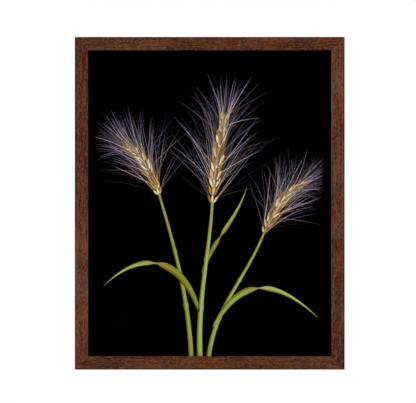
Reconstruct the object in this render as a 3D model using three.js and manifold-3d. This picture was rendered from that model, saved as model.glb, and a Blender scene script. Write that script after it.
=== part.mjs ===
// A framed wall print: four mitred wooden rails hold clear glazing, a paper
// print, a foam board and a backing board. Turn buttons keep the back shut,
// and a sawtooth hanger carries the frame on a wall hook.
//
// Millimetres. +X is the viewer's right, +Y runs into the wall, +Z is up.
// The origin is the point that the wall hook carries: the middle notch of
// the hanger, in the plane of the wall.

import * as THREE from 'three';
import Module from 'manifold-3d';
import { mergeVertices } from 'three/addons/utils/BufferGeometryUtils.js';

const wasm = await Module();
wasm.setup();

// ---------------------------------------------------------------- the sheets

const INCH = 25.4;
const SHEET_WIDTH = 16 * INCH;
const SHEET_HEIGHT = 20 * INCH;
const GLAZING_THICKNESS = 2;
const PRINT_THICKNESS = 0.3;
const FOAM_THICKNESS = 5;
const BACKING_THICKNESS = 3;
const SHEET_GAP = 0.1; // air between one sheet and the next

// ----------------------------------------------------------------- the rails

const RAIL_FACE = 21.5; // width of the front face
const RAIL_DEPTH = 20;
const RAIL_EASE = 1.2; // radius of the eased front edges
const BACK_EASE = 0.6; // radius of the eased back edge
const EASE_SEGMENTS = 2;
const LIP = INCH / 4; // how far a rail covers the print
const RABBET_CLEARANCE = 1; // room round the sheets, on every side
const BACKING_RECESS = 0.2; // the backing lies this far below the rails' backs
const GLUE_LINE = 0.05; // taken off each mitred end

// ------------------------------------------------------- the turn buttons

const BUTTON_LENGTH = 25;
const BUTTON_RADIUS = 5; // round ends, so the button is twice this wide
const BUTTON_THICKNESS = 1;
const BUTTON_GAP = 0.3; // air between button and rail
const BUTTON_HOLE_CLEARANCE = 0.1;
const BUTTON_EDGE_MARGIN = 1; // from a button turned aside to the rabbet
const BUTTON_SPREAD_SHORT = 115; // from the middle of a short rail
const BUTTON_SPREAD_LONG = 130; // from the middle of a long rail
const BUTTON_CURVE_SEGMENTS = 10;

// ---------------------------------------------------------- screws and nails

const SCREW_SHANK_RADIUS = 1.45;
const SCREW_HEAD_RADIUS = 2.8;
const SCREW_HEAD_HEIGHT = 1.6;
const SCREW_HEAD_GAP = 0.15; // between the head and the button
const SCREW_LENGTH = 9.5; // under the head
const SCREW_POINT = 2;
const PIN_NAIL_SHANK_RADIUS = 0.75;
const PIN_NAIL_HEAD_RADIUS = 1.7;
const PIN_NAIL_HEAD_HEIGHT = 0.7;
const PIN_NAIL_LENGTH = 10;
const PIN_NAIL_POINT = 1.5;
const PILOT_CLEARANCE = 0.1; // round every screw, nail and wedge in the wood
const ROUND_SIDES = 24;

// -------------------------------------------------- the wedges in the corners

const WEDGE_LEG = 6;
const WEDGE_THICKNESS = 0.6;
const WEDGE_HEIGHT = 10;
const WEDGE_SUNK = 0.3; // below the rails' backs
const WEDGE_APEX = 9.5; // from the outer edge of both rails

// --------------------------------------------------------- the sawtooth hanger

const HANGER_LENGTH = 45;
const HANGER_HEIGHT = 11;
const HANGER_THICKNESS = 0.8;
const HANGER_SEAT_GAP = 0.1;
const HANGER_RISE = 2; // the bridge stands this far above the flat ends
const HANGER_BRIDGE_HALF = 15;
const HANGER_RAMP = 2;
const HANGER_CORNER_RADIUS = 1.5;
const HANGER_NAIL_INSET = 2.9; // from the end of the hanger
const NOTCH_COUNT = 9;
const NOTCH_PITCH = 3;
const NOTCH_WIDTH = 2.7;
const NOTCH_DEPTH = 2;

// ------------------------------------------------------------ the wall bumpers

const BUMPER_RADIUS = 5;
const BUMPER_THICKNESS = 3.5; // sets the frame's distance from the wall
const BUMPER_SEAT_GAP = 0.1;
const BUMPER_EASE = 0.8;
const BUMPER_CORNER_DISTANCE = 24; // from the frame's side to the bumper

// ------------------------------------------------------------- derived places

const SIGHT_WIDTH = SHEET_WIDTH - 2 * LIP;
const SIGHT_HEIGHT = SHEET_HEIGHT - 2 * LIP;
const OUTER_WIDTH = SIGHT_WIDTH + 2 * RAIL_FACE;
const OUTER_HEIGHT = SIGHT_HEIGHT + 2 * RAIL_FACE;

const BACK_Y = -BUMPER_THICKNESS;
const FRONT_Y = BACK_Y - RAIL_DEPTH;
const RABBET_WIDTH = LIP + RABBET_CLEARANCE;
const BACK_LAND = RAIL_FACE - RABBET_WIDTH; // width of a rail's back face

// The sheets are stacked from the back: [name, thickness, finish].
const SHEETS = [
  ['backing_board', BACKING_THICKNESS, { color: 0x8a6743, roughness: 0.85 }],
  ['foam_board', FOAM_THICKNESS, { color: 0xf2f0ea, roughness: 0.9 }],
  ['print_sheet', PRINT_THICKNESS, { color: 0x070708, roughness: 0.6 }],
  ['glazing', GLAZING_THICKNESS, { color: 0xf4f8f8, roughness: 0.05 }],
];
const STACK_DEPTH = SHEETS.reduce((sum, [, thickness]) => sum + thickness + SHEET_GAP, 0);
const LIP_Y = BACK_Y - BACKING_RECESS - STACK_DEPTH; // back face of the lip

// The hanger sits in the middle of the top rail's back, its notches at z = 0.
const HANGER_LOW_Z = -NOTCH_DEPTH;
const HANGER_MIDDLE_Z = HANGER_LOW_Z + HANGER_HEIGHT / 2;
const TOP_Z = HANGER_MIDDLE_Z + BACK_LAND / 2;
const CENTRE_Z = TOP_Z - OUTER_HEIGHT / 2;
const HANGER_NAIL_X = HANGER_LENGTH / 2 - HANGER_NAIL_INSET;

// A button turned aside stays on the rail's back, clear of the backing.
const PIVOT_EDGE_DISTANCE = BACK_LAND - BUTTON_EDGE_MARGIN - BUTTON_RADIUS;
const BUTTON_HOLE_RADIUS = SCREW_SHANK_RADIUS + BUTTON_HOLE_CLEARANCE;
const BUTTON_REACH = BUTTON_LENGTH - 2 * BUTTON_RADIUS;
const BUTTON_BACK_Y = BACK_Y + BUTTON_GAP + BUTTON_THICKNESS;

// ------------------------------------------------------------ solid helpers

function toSolid(geometry) {
  const bare = geometry.clone();
  bare.deleteAttribute('normal');
  bare.deleteAttribute('uv');
  const merged = mergeVertices(bare);
  return new wasm.Manifold(new wasm.Mesh({
    numProp: 3,
    vertProperties: new Float32Array(merged.attributes.position.array),
    triVerts: new Uint32Array(merged.index.array),
  }));
}

function toGeometry(solid) {
  const mesh = solid.getMesh();
  const geometry = new THREE.BufferGeometry();
  geometry.setAttribute('position', new THREE.BufferAttribute(mesh.vertProperties, 3));
  geometry.setIndex(new THREE.BufferAttribute(mesh.triVerts, 1));
  geometry.computeVertexNormals();
  return geometry;
}

function cutAll(geometry, tools) {
  const cut = tools.reduce((solid, tool) => solid.subtract(toSolid(tool)), toSolid(geometry));
  return toGeometry(cut);
}

// A shape drawn in X and Z, standing from frontY to backY.
function plate(shape, frontY, backY, curveSegments) {
  const geometry = new THREE.ExtrudeGeometry(shape, {
    depth: backY - frontY,
    bevelEnabled: false,
    curveSegments,
  });
  geometry.rotateX(Math.PI / 2);
  geometry.translate(0, backY, 0);
  return geometry;
}

function addMesh(parent, name, geometry, finish) {
  const mesh = new THREE.Mesh(geometry, new THREE.MeshStandardMaterial(finish));
  mesh.name = name;
  parent.add(mesh);
  return mesh;
}

const WOOD_FINISH = { color: 0x583424, roughness: 0.5, metalness: 0 };
const ZINC_FINISH = { color: 0xb9bcc0, roughness: 0.35, metalness: 1 };
const RUBBER_FINISH = { color: 0x3c3b39, roughness: 0.8, metalness: 0 };

// -------------------------------------------------------------------- rails
// A rail is made in its side's own frame: +X points outwards from the middle
// of the picture, Y is depth and Z runs along the rail.

function railProfile(outerEdge) {
  const innerEdge = outerEdge - RAIL_FACE;
  const rabbetEdge = outerEdge - BACK_LAND;
  const quarter = Math.PI / 2;
  const profile = new THREE.Shape();
  profile.moveTo(rabbetEdge, BACK_Y);
  profile.lineTo(rabbetEdge, LIP_Y);
  profile.lineTo(innerEdge, LIP_Y);
  profile.absarc(innerEdge + RAIL_EASE, FRONT_Y + RAIL_EASE, RAIL_EASE, 2 * quarter, 3 * quarter);
  profile.absarc(outerEdge - RAIL_EASE, FRONT_Y + RAIL_EASE, RAIL_EASE, 3 * quarter, 4 * quarter);
  profile.absarc(outerEdge - BACK_EASE, BACK_Y - BACK_EASE, BACK_EASE, 0, quarter);
  profile.closePath();
  return profile;
}

function mitredRail(outerEdge, length) {
  const geometry = new THREE.ExtrudeGeometry(railProfile(outerEdge), {
    depth: length,
    bevelEnabled: false,
    curveSegments: EASE_SEGMENTS,
  });
  geometry.translate(0, 0, -length / 2);
  // Both ends lean at 45 degrees: the rail is longest along its outer edge.
  const position = geometry.attributes.position;
  for (let i = 0; i < position.count; i += 1) {
    const inset = outerEdge - position.getX(i) + GLUE_LINE;
    const end = Math.sign(position.getZ(i));
    position.setZ(i, end * (length / 2 - inset));
  }
  return geometry;
}

// A round hole in the wood, from just behind the rail's back to its depth.
function pilotHole(radius, depth, x, z) {
  const overshoot = 1;
  const geometry = new THREE.CylinderGeometry(radius, radius, depth + overshoot, ROUND_SIDES);
  geometry.translate(x, BACK_Y + overshoot - (depth + overshoot) / 2, z);
  return geometry;
}

// ---------------------------------------------------- wedges in the corners
// A wedge is a thin steel angle driven across the mitre, one leg in each rail,
// its apex on the mitre line and its legs opening to the outer corner.

function wedge(grown, frontY, backY) {
  const half = WEDGE_THICKNESS / 2 + grown;
  const leg = WEDGE_LEG + grown;
  const shape = new THREE.Shape([
    new THREE.Vector2(-half, -half),
    new THREE.Vector2(leg, -half),
    new THREE.Vector2(leg, half),
    new THREE.Vector2(half, half),
    new THREE.Vector2(half, leg),
    new THREE.Vector2(-half, leg),
  ]);
  return plate(shape, frontY, backY);
}

function wedgePocket(x, z, end) {
  const overshoot = 1;
  const frontY = BACK_Y - WEDGE_SUNK - WEDGE_HEIGHT - PILOT_CLEARANCE;
  const geometry = wedge(PILOT_CLEARANCE, frontY, BACK_Y + overshoot);
  if (end < 0) {
    geometry.rotateY(Math.PI / 2); // legs now open towards +X and -Z
  }
  geometry.translate(x, 0, z);
  return geometry;
}

// ------------------------------------------------------------ turned pieces

// A pin along Y: its head stands behind headY, its shank runs to the front.
function headedPin({ shankRadius, headRadius, headHeight, length, point, dome }) {
  const profile = [
    new THREE.Vector2(0, -length),
    new THREE.Vector2(shankRadius, point - length),
    new THREE.Vector2(shankRadius, 0),
    new THREE.Vector2(headRadius, 0),
    new THREE.Vector2(headRadius, headHeight - dome),
    new THREE.Vector2(headRadius - dome / 2, headHeight - dome / 3),
    new THREE.Vector2(headRadius - dome * 1.5, headHeight),
    new THREE.Vector2(0, headHeight),
  ];
  return new THREE.LatheGeometry(profile, ROUND_SIDES);
}

function buttonScrew() {
  return headedPin({
    shankRadius: SCREW_SHANK_RADIUS,
    headRadius: SCREW_HEAD_RADIUS,
    headHeight: SCREW_HEAD_HEIGHT,
    length: SCREW_LENGTH,
    point: SCREW_POINT,
    dome: 0.7,
  });
}

function pinNail() {
  return headedPin({
    shankRadius: PIN_NAIL_SHANK_RADIUS,
    headRadius: PIN_NAIL_HEAD_RADIUS,
    headHeight: PIN_NAIL_HEAD_HEIGHT,
    length: PIN_NAIL_LENGTH,
    point: PIN_NAIL_POINT,
    dome: 0.3,
  });
}

function wallBumper() {
  const thickness = BUMPER_THICKNESS - BUMPER_SEAT_GAP;
  const profile = [
    new THREE.Vector2(0, 0),
    new THREE.Vector2(BUMPER_RADIUS, 0),
    new THREE.Vector2(BUMPER_RADIUS, thickness - BUMPER_EASE),
  ];
  const easeSteps = 3;
  for (let i = 1; i <= easeSteps; i += 1) {
    const angle = (i / easeSteps) * (Math.PI / 2);
    profile.push(new THREE.Vector2(
      BUMPER_RADIUS - BUMPER_EASE * (1 - Math.cos(angle)),
      thickness - BUMPER_EASE * (1 - Math.sin(angle)),
    ));
  }
  profile.push(new THREE.Vector2(0, thickness));
  return new THREE.LatheGeometry(profile, ROUND_SIDES);
}

// -------------------------------------------------------------- turn button
// The screw's axis is the button's origin. At rest it points inwards, -X.

function turnButton() {
  const half = Math.PI / 2;
  const shape = new THREE.Shape();
  shape.absarc(0, 0, BUTTON_RADIUS, -half, half);
  shape.absarc(-BUTTON_REACH, 0, BUTTON_RADIUS, half, 3 * half);
  shape.closePath();
  const hole = new THREE.Path();
  hole.absarc(0, 0, BUTTON_HOLE_RADIUS, 0, 4 * half, true);
  shape.holes.push(hole);
  return plate(shape, BUTTON_BACK_Y - BUTTON_THICKNESS, BUTTON_BACK_Y, BUTTON_CURVE_SEGMENTS);
}

// ------------------------------------------------------------------- hanger

// The bent strip seen from above, standing the full height of the hanger.
function hangerStrip() {
  const end = HANGER_LENGTH / 2;
  const foot = HANGER_BRIDGE_HALF + HANGER_RAMP;
  const lowY = BACK_Y + HANGER_SEAT_GAP;
  const highY = lowY + HANGER_RISE;
  const halfRun = [
    [end, lowY],
    [foot, lowY],
    [HANGER_BRIDGE_HALF, highY],
  ];
  const mirrored = halfRun.map(([x, y]) => [-x, y]).reverse();
  const railSide = [...halfRun, ...mirrored];
  const wallSide = railSide.map(([x, y]) => [x, y + HANGER_THICKNESS]).reverse();
  const outline = [...railSide, ...wallSide].map(([x, y]) => new THREE.Vector2(x, y));
  const geometry = new THREE.ExtrudeGeometry(new THREE.Shape(outline.reverse()), {
    depth: HANGER_HEIGHT + 2,
    bevelEnabled: false,
  });
  geometry.translate(0, 0, HANGER_LOW_Z - 1);
  return geometry;
}

// The flat outline of the strip: round corners, notches and nail holes.
function hangerOutline() {
  const end = HANGER_LENGTH / 2;
  const highZ = HANGER_LOW_Z + HANGER_HEIGHT;
  const radius = HANGER_CORNER_RADIUS;
  const quarter = Math.PI / 2;
  const outline = new THREE.Shape();
  outline.absarc(-end + radius, HANGER_LOW_Z + radius, radius, 2 * quarter, 3 * quarter);
  for (let i = 0; i < NOTCH_COUNT; i += 1) {
    const middle = (i - (NOTCH_COUNT - 1) / 2) * NOTCH_PITCH;
    outline.lineTo(middle - NOTCH_WIDTH / 2, HANGER_LOW_Z);
    outline.lineTo(middle, HANGER_LOW_Z + NOTCH_DEPTH);
    outline.lineTo(middle + NOTCH_WIDTH / 2, HANGER_LOW_Z);
  }
  outline.absarc(end - radius, HANGER_LOW_Z + radius, radius, 3 * quarter, 4 * quarter);
  outline.absarc(end - radius, highZ - radius, radius, 0, quarter);
  outline.absarc(-end + radius, highZ - radius, radius, quarter, 2 * quarter);
  outline.closePath();
  for (const side of [-1, 1]) {
    const hole = new THREE.Path();
    const holeRadius = PIN_NAIL_SHANK_RADIUS + PILOT_CLEARANCE;
    hole.absarc(side * HANGER_NAIL_X, HANGER_MIDDLE_Z, holeRadius, 0, 4 * quarter, true);
    outline.holes.push(hole);
  }
  return outline;
}

function sawtoothHanger() {
  const holeSegments = 8;
  const outline = plate(hangerOutline(), BACK_Y, 0, holeSegments);
  return toGeometry(toSolid(hangerStrip()).intersect(toSolid(outline)));
}

// ----------------------------------------------------------------- assembly

const framedPrint = new THREE.Group();
const picture = new THREE.Group();
picture.position.z = CENTRE_Z;
framedPrint.add(picture);

// Each side: its name, its turn from the right-hand side, the distance from
// the middle to its outer edge, its length, its buttons' spread, the names of
// the places at its +Z and -Z ends, the corner at its +Z end, and its nails.
const SIDES = [
  {
    name: 'right',
    turn: 0,
    outerEdge: OUTER_WIDTH / 2,
    length: OUTER_HEIGHT,
    spread: BUTTON_SPREAD_LONG,
    places: ['right_upper', 'right_lower'],
    corner: 'top_right',
    nails: [],
  },
  {
    name: 'top',
    turn: -Math.PI / 2,
    outerEdge: OUTER_HEIGHT / 2,
    length: OUTER_WIDTH,
    spread: BUTTON_SPREAD_SHORT,
    places: ['top_left', 'top_right'],
    corner: 'top_left',
    nails: [-HANGER_NAIL_X, HANGER_NAIL_X],
  },
  {
    name: 'left',
    turn: Math.PI,
    outerEdge: OUTER_WIDTH / 2,
    length: OUTER_HEIGHT,
    spread: BUTTON_SPREAD_LONG,
    places: ['left_lower', 'left_upper'],
    corner: 'bottom_left',
    nails: [],
  },
  {
    name: 'bottom',
    turn: Math.PI / 2,
    outerEdge: OUTER_HEIGHT / 2,
    length: OUTER_WIDTH,
    spread: BUTTON_SPREAD_SHORT,
    places: ['bottom_right', 'bottom_left'],
    corner: 'bottom_right',
    nails: [],
  },
];

for (const side of SIDES) {
  const group = new THREE.Group();
  group.rotation.y = side.turn;
  picture.add(group);

  const pivotX = side.outerEdge - PIVOT_EDGE_DISTANCE;
  const screwHeadY = BUTTON_BACK_Y + SCREW_HEAD_GAP;
  const screwDepth = SCREW_LENGTH - (screwHeadY - BACK_Y) + PILOT_CLEARANCE;
  const wedgeX = side.outerEdge - WEDGE_APEX;
  const wedgeZ = side.length / 2 - WEDGE_APEX;
  const pockets = [wedgePocket(wedgeX, wedgeZ, 1), wedgePocket(wedgeX, -wedgeZ, -1)];

  [side.spread, -side.spread].forEach((along, index) => {
    const radius = SCREW_SHANK_RADIUS + PILOT_CLEARANCE;
    pockets.push(pilotHole(radius, screwDepth, pivotX, along));

    const place = side.places[index];
    const button = addMesh(group, `turn_button_${place}`, turnButton(), ZINC_FINISH);
    button.position.set(pivotX, 0, along);
    const screw = addMesh(group, `button_screw_${place}`, buttonScrew(), ZINC_FINISH);
    screw.position.set(pivotX, screwHeadY, along);
  });

  const nailX = HANGER_MIDDLE_Z - CENTRE_Z;
  for (const along of side.nails) {
    const radius = PIN_NAIL_SHANK_RADIUS + PILOT_CLEARANCE;
    pockets.push(pilotHole(radius, PIN_NAIL_LENGTH, nailX, along));
  }

  const rail = cutAll(mitredRail(side.outerEdge, side.length), pockets);
  addMesh(group, `rail_${side.name}`, rail, WOOD_FINISH);

  const wedgeBackY = BACK_Y - WEDGE_SUNK;
  const wedgePiece = wedge(0, wedgeBackY - WEDGE_HEIGHT, wedgeBackY);
  const cornerWedge = addMesh(group, `corner_wedge_${side.corner}`, wedgePiece, ZINC_FINISH);
  cornerWedge.position.set(wedgeX, 0, wedgeZ);
}

let sheetBackY = BACK_Y - BACKING_RECESS;
for (const [name, thickness, finish] of SHEETS) {
  const geometry = new THREE.BoxGeometry(SHEET_WIDTH, thickness, SHEET_HEIGHT);
  const sheet = addMesh(picture, name, geometry, finish);
  sheet.position.y = sheetBackY - thickness / 2;
  sheetBackY -= thickness + SHEET_GAP;
}

addMesh(framedPrint, 'sawtooth_hanger', sawtoothHanger(), ZINC_FINISH);
const hangerEndBackY = BACK_Y + HANGER_SEAT_GAP + HANGER_THICKNESS;
for (const [place, side] of [['left', -1], ['right', 1]]) {
  const nail = addMesh(framedPrint, `hanger_nail_${place}`, pinNail(), ZINC_FINISH);
  nail.position.set(side * HANGER_NAIL_X, hangerEndBackY + HANGER_SEAT_GAP, HANGER_MIDDLE_Z);

  const bumper = addMesh(picture, `wall_bumper_${place}`, wallBumper(), RUBBER_FINISH);
  const bumperX = side * (OUTER_WIDTH / 2 - BUMPER_CORNER_DISTANCE);
  bumper.position.set(bumperX, BACK_Y + BUMPER_SEAT_GAP, BACK_LAND / 2 - OUTER_HEIGHT / 2);
}

export default framedPrint;
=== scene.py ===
# %% [markdown]
# # A framed wall print
# This lesson dresses a picture frame that is already built as plain solids: four mitred
# rails, clear glazing, a paper print, foam board, a backing board under turn buttons, and
# a sawtooth hanger. Every solid keeps its place. We only add finer shapes and finishes.

import math
import random

import bmesh
import bpy
from mathutils import Matrix, Vector
from mathutils.geometry import interpolate_bezier


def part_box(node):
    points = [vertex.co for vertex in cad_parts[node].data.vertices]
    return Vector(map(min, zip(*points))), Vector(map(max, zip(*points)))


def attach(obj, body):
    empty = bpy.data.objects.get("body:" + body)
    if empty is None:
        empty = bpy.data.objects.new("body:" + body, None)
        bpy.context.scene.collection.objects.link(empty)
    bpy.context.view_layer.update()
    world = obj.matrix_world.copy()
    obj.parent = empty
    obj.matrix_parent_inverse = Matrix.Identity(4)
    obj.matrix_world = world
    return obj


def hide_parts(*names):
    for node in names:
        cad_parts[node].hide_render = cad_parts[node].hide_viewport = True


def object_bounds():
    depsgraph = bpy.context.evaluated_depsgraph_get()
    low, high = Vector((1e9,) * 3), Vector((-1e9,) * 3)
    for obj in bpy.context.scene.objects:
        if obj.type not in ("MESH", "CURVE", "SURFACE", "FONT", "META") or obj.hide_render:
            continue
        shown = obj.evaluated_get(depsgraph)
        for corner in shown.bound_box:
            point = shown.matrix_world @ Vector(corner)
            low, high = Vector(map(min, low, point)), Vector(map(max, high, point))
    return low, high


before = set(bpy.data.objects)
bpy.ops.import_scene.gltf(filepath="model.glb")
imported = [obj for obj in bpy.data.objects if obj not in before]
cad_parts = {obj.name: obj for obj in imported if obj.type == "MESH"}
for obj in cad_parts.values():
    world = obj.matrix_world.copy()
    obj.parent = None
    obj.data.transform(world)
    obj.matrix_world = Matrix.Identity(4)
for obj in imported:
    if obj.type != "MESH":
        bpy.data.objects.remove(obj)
cad_low, cad_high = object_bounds()
MM = 0.001
print("outside, mm:", [round(side / MM, 1) for side in cad_high - cad_low])

# %% [markdown]
# ## Places and sizes
# Blender could be given every number again, but two lists of sizes drift apart. So each
# place here is read from the solids: the middle of the picture, the planes of its layers
# and the widths of the rails all come from the boxes of the nodes.

# %% Read the main planes from the solids
SHEET_GAP = 0.1 * MM
RABBET_CLEARANCE = 1.0 * MM
rail_low, rail_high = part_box("rail_right")
sheet_low, sheet_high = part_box("print_sheet")
glazing_low, glazing_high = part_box("glazing")

MIDDLE = (cad_low + cad_high) / 2
HALF_WIDTH = cad_high.x - MIDDLE.x
HALF_HEIGHT = cad_high.z - MIDDLE.z
FRONT_Y = rail_low.y
BACK_Y = rail_high.y
LIP_Y = glazing_low.y - SHEET_GAP
FACE = rail_high.x - rail_low.x
SIGHT_HALF_WIDTH = HALF_WIDTH - FACE
SIGHT_HALF_HEIGHT = HALF_HEIGHT - FACE
RABBET = sheet_high.x - MIDDLE.x + RABBET_CLEARANCE - SIGHT_HALF_WIDTH
print("rail face, mm:", round(FACE / MM, 2), " rabbet, mm:", round(RABBET / MM, 2))

# %% [markdown]
# ## Shader maths that reads as maths
# A node tree is wired socket by socket, which hides the idea behind the wires. The small
# class below wraps an output, so that `1 - mask * 0.4` adds the Math nodes by itself.
# Colours go through Mix nodes instead, because a Math node would turn them grey.

# %% A socket that can be added, multiplied and subtracted
class Signal:
    """One output of a node, used like a number."""

    def __init__(self, tree, socket):
        self.tree = tree
        self.socket = socket

    def maths(self, operation, first, second=0.0):
        return add_node(self.tree, "ShaderNodeMath", {"operation": operation}, {0: first, 1: second})

    def __add__(self, other):
        return self.maths("ADD", self, other)

    def __sub__(self, other):
        return self.maths("SUBTRACT", self, other)

    def __rsub__(self, other):
        return self.maths("SUBTRACT", other, self)

    def __mul__(self, other):
        return self.maths("MULTIPLY", self, other)

    def __truediv__(self, other):
        return self.maths("DIVIDE", self, other)

    def __abs__(self):
        return self.maths("ABSOLUTE", self)

    __radd__ = __add__
    __rmul__ = __mul__

    def floor(self):
        return self.maths("FLOOR", self)

    def fraction(self):
        return self.maths("FRACT", self)

    def power(self, exponent):
        return self.maths("POWER", self, exponent)

    def smallest(self, other):
        return self.maths("MINIMUM", self, other)

    def largest(self, other):
        return self.maths("MAXIMUM", self, other)

    def between(self, low, high):
        """0 below low, 1 above high and a smooth ramp between them."""
        settings = {"interpolation_type": "SMOOTHSTEP"}
        return add_node(self.tree, "ShaderNodeMapRange", settings, {0: self, 1: low, 2: high})


# %% One way to add any other node
def add_node(tree, kind, settings, inputs, output=0):
    """Adds a node, sets it up, feeds its inputs and returns one of its outputs."""
    node = tree.nodes.new(kind)
    for name, value in settings.items():
        if name == "stops":
            for extra in value[2:]:
                node.color_ramp.elements.new(0.5)
            for element, (place, shade) in zip(node.color_ramp.elements, value):
                element.position = place
                element.color = (*shade, 1.0)
        else:
            setattr(node, name, value)
    for key, value in inputs.items():
        if isinstance(value, Signal):
            tree.links.new(value.socket, node.inputs[key])
        else:
            node.inputs[key].default_value = value
    return Signal(tree, node.outputs[output])


# %% [markdown]
# ## A finish
# A finish is a material with one Principled shader. Numbers that are the same all over go
# straight onto its sockets, and only what changes over the surface is wired up. Patterns
# read Object coordinates, which are metres here, so grain and fibres get real sizes.

# %% The finish class
class Finish:
    """A material under construction."""

    def __init__(self, name, constants):
        self.material = bpy.data.materials.new(name)
        self.material.use_nodes = True
        self.tree = self.material.node_tree
        self.shader = self.tree.nodes["Principled BSDF"]
        for socket, value in constants.items():
            self.shader.inputs[socket].default_value = value

    def node(self, kind, settings, inputs, output=0):
        return add_node(self.tree, kind, settings, inputs, output)

    def split(self, vector):
        parts = self.node("ShaderNodeSeparateXYZ", {}, {0: vector})
        sockets = parts.socket.node.outputs
        return [Signal(self.tree, sockets[axis]) for axis in range(3)]

    def object_place(self):
        """The place on the piece as x, y and z, in metres."""
        return self.split(self.node("ShaderNodeTexCoord", {}, {}, "Object"))

    def uv_place(self):
        """The place on the piece's own map, as across and along."""
        return self.split(self.node("ShaderNodeTexCoord", {}, {}, "UV"))[:2]

    def vector(self, x, y, z=0.0):
        return self.node("ShaderNodeCombineXYZ", {}, {0: x, 1: y, 2: z})

    def noise(self, vector, detail, scale=1.0):
        inputs = {"Vector": vector, "Scale": scale, "Detail": detail}
        return self.node("ShaderNodeTexNoise", {}, inputs)

    def clouds(self, scale, detail):
        """A noise that is alike in every direction, scale times to the metre."""
        return self.noise(self.node("ShaderNodeTexCoord", {}, {}, "Object"), detail, scale)

    def cells(self, vector):
        return self.node("ShaderNodeTexVoronoi", {}, {"Vector": vector, "Scale": 1.0}, "Distance")

    def ramp(self, signal, places, shades):
        """A colour that goes through some shades as a signal passes their places."""
        return self.node("ShaderNodeValToRGB", {"stops": list(zip(places, shades))}, {0: signal})

    def mix(self, factor, first, second, blend="MIX"):
        settings = {"data_type": "RGBA", "blend_type": blend}
        inputs = {0: factor}
        for socket, colour in ((6, first), (7, second)):
            inputs[socket] = colour if isinstance(colour, Signal) else (*colour, 1.0)
        return self.node("ShaderNodeMix", settings, inputs, 2)

    def tinted(self, colour, amount):
        """A colour made lighter or darker by a signal, where 1 leaves it alone."""
        return self.mix(1.0, colour, self.vector(amount, amount, amount), "MULTIPLY")

    def feed(self, socket, signal):
        self.tree.links.new(signal.socket, self.shader.inputs[socket])

    def raised(self, height, distance, strength=1.0):
        """Raises the surface by a height of 0 to 1 times distance, in metres."""
        inputs = {"Height": height, "Distance": distance, "Strength": strength}
        self.feed("Normal", self.node("ShaderNodeBump", {}, inputs))


# %% [markdown]
# ## Camera
# The frame is seen straight on from eight metres, as a picture is photographed flat. A
# long lens at that distance hardly shows the inner side of the lip. The camera stands a few
# millimetres off the middle of the picture instead of shifting its lens, so it needs no
# shift at all.

# %% Stand the camera in front of the picture
VIEW_WIDTH = 673.0 * MM
VIEW_DISTANCE = 8.0
CAMERA_OFFSET = Vector((-2.8 * MM, 0.0, 2.9 * MM))
SENSOR_WIDTH = 36.0


def placed(name, data):
    """Makes an object of some data and puts it in the scene."""
    thing = bpy.data.objects.new(name, data)
    bpy.context.scene.collection.objects.link(thing)
    return thing


camera_data = bpy.data.cameras.new("camera")
camera_data.sensor_width = SENSOR_WIDTH
camera_data.lens = SENSOR_WIDTH * VIEW_DISTANCE / VIEW_WIDTH
camera = placed("camera", camera_data)
camera.location = Vector((MIDDLE.x, FRONT_Y - VIEW_DISTANCE, MIDDLE.z)) + CAMERA_OFFSET
camera.rotation_euler = (math.radians(90), 0, 0)
bpy.context.scene.camera = camera
bpy.context.scene.view_settings.view_transform = "Standard"
print("lens, mm:", round(camera_data.lens, 1))

# %% [markdown]
# ## Studio
# Soft light comes from both sides, in front and behind, so that every face of the frame
# can be looked at. Sun lamps with a wide angle act as big soft boxes, and they light the
# floor evenly. The world is white where the camera looks past the frame, and it is dimmer,
# with a dark patch in front, for everything that only reflects it. Photographers hang a
# black cloth behind the camera for the same reason: the glazing then mirrors nothing.

# %% Soft lights at both sides, in front and behind
LAMPS = [
    # name, where the light comes from, softness in degrees, strength
    ("key_light", (-2.2, -1.9, 1.6), 26, 1.75),
    ("fill_light", (2.4, -1.9, 0.8), 34, 1.10),
    ("back_light_left", (-1.9, 2.1, 1.3), 30, 1.30),
    ("back_light_right", (2.0, 1.9, 0.9), 34, 0.80),
]
for name, source, softness, strength in LAMPS:
    lamp_data = bpy.data.lights.new(name, "SUN")
    lamp_data.angle = math.radians(softness)
    lamp_data.energy = strength
    lamp = placed(name, lamp_data)
    lamp.location = MIDDLE + Vector(source)
    lamp.rotation_euler = (-Vector(source)).to_track_quat("-Z", "Y").to_euler()
print("lamps:", len(LAMPS))

# %% White to look at, dimmer to be lit by
FILL_STRENGTH = 0.5
CLOTH_EDGE = [math.cos(math.radians(degrees)) for degrees in (24, 13)]
world = bpy.data.worlds.new("studio")
world.use_nodes = True
bpy.context.scene.world = world
tree = world.node_tree
tree.nodes.clear()
direction = add_node(tree, "ShaderNodeTexCoord", {}, {}, "Generated")
towards_camera = add_node(
    tree, "ShaderNodeVectorMath", {"operation": "DOT_PRODUCT"}, {0: direction, 1: (0, -1, 0)}, "Value"
)
cloth = towards_camera.between(*CLOTH_EDGE)
seen = add_node(tree, "ShaderNodeLightPath", {}, {}, "Is Camera Ray")
strength = seen + (1 - seen) * (1 - cloth) * FILL_STRENGTH
background = add_node(tree, "ShaderNodeBackground", {}, {"Color": (1, 1, 1, 1), "Strength": strength})
output = tree.nodes.new("ShaderNodeOutputWorld")
tree.links.new(background.socket, output.inputs["Surface"])

# %% [markdown]
# ## Floor
# A picture hangs free, and nothing of it touches the floor. A pale floor a little below it
# is enough. It ends behind the frame, just before it would come into the straight view.

# %% Lay the floor
FLOOR_DROP = 0.3
FLOOR_REACH = (9.0, 6.5)
FLOOR_FAR_EDGE = 5.5

pale = Finish("pale_floor", {"Roughness": 0.9, "Specular IOR Level": 0.2})
floor_x, floor_y = pale.object_place()[:2]
cloudy = pale.noise(pale.vector(floor_x * 1.5, floor_y * 1.5), 4.0)
pale.feed("Base Color", pale.mix(cloudy, (0.80, 0.80, 0.79), (0.86, 0.86, 0.85)))


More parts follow.
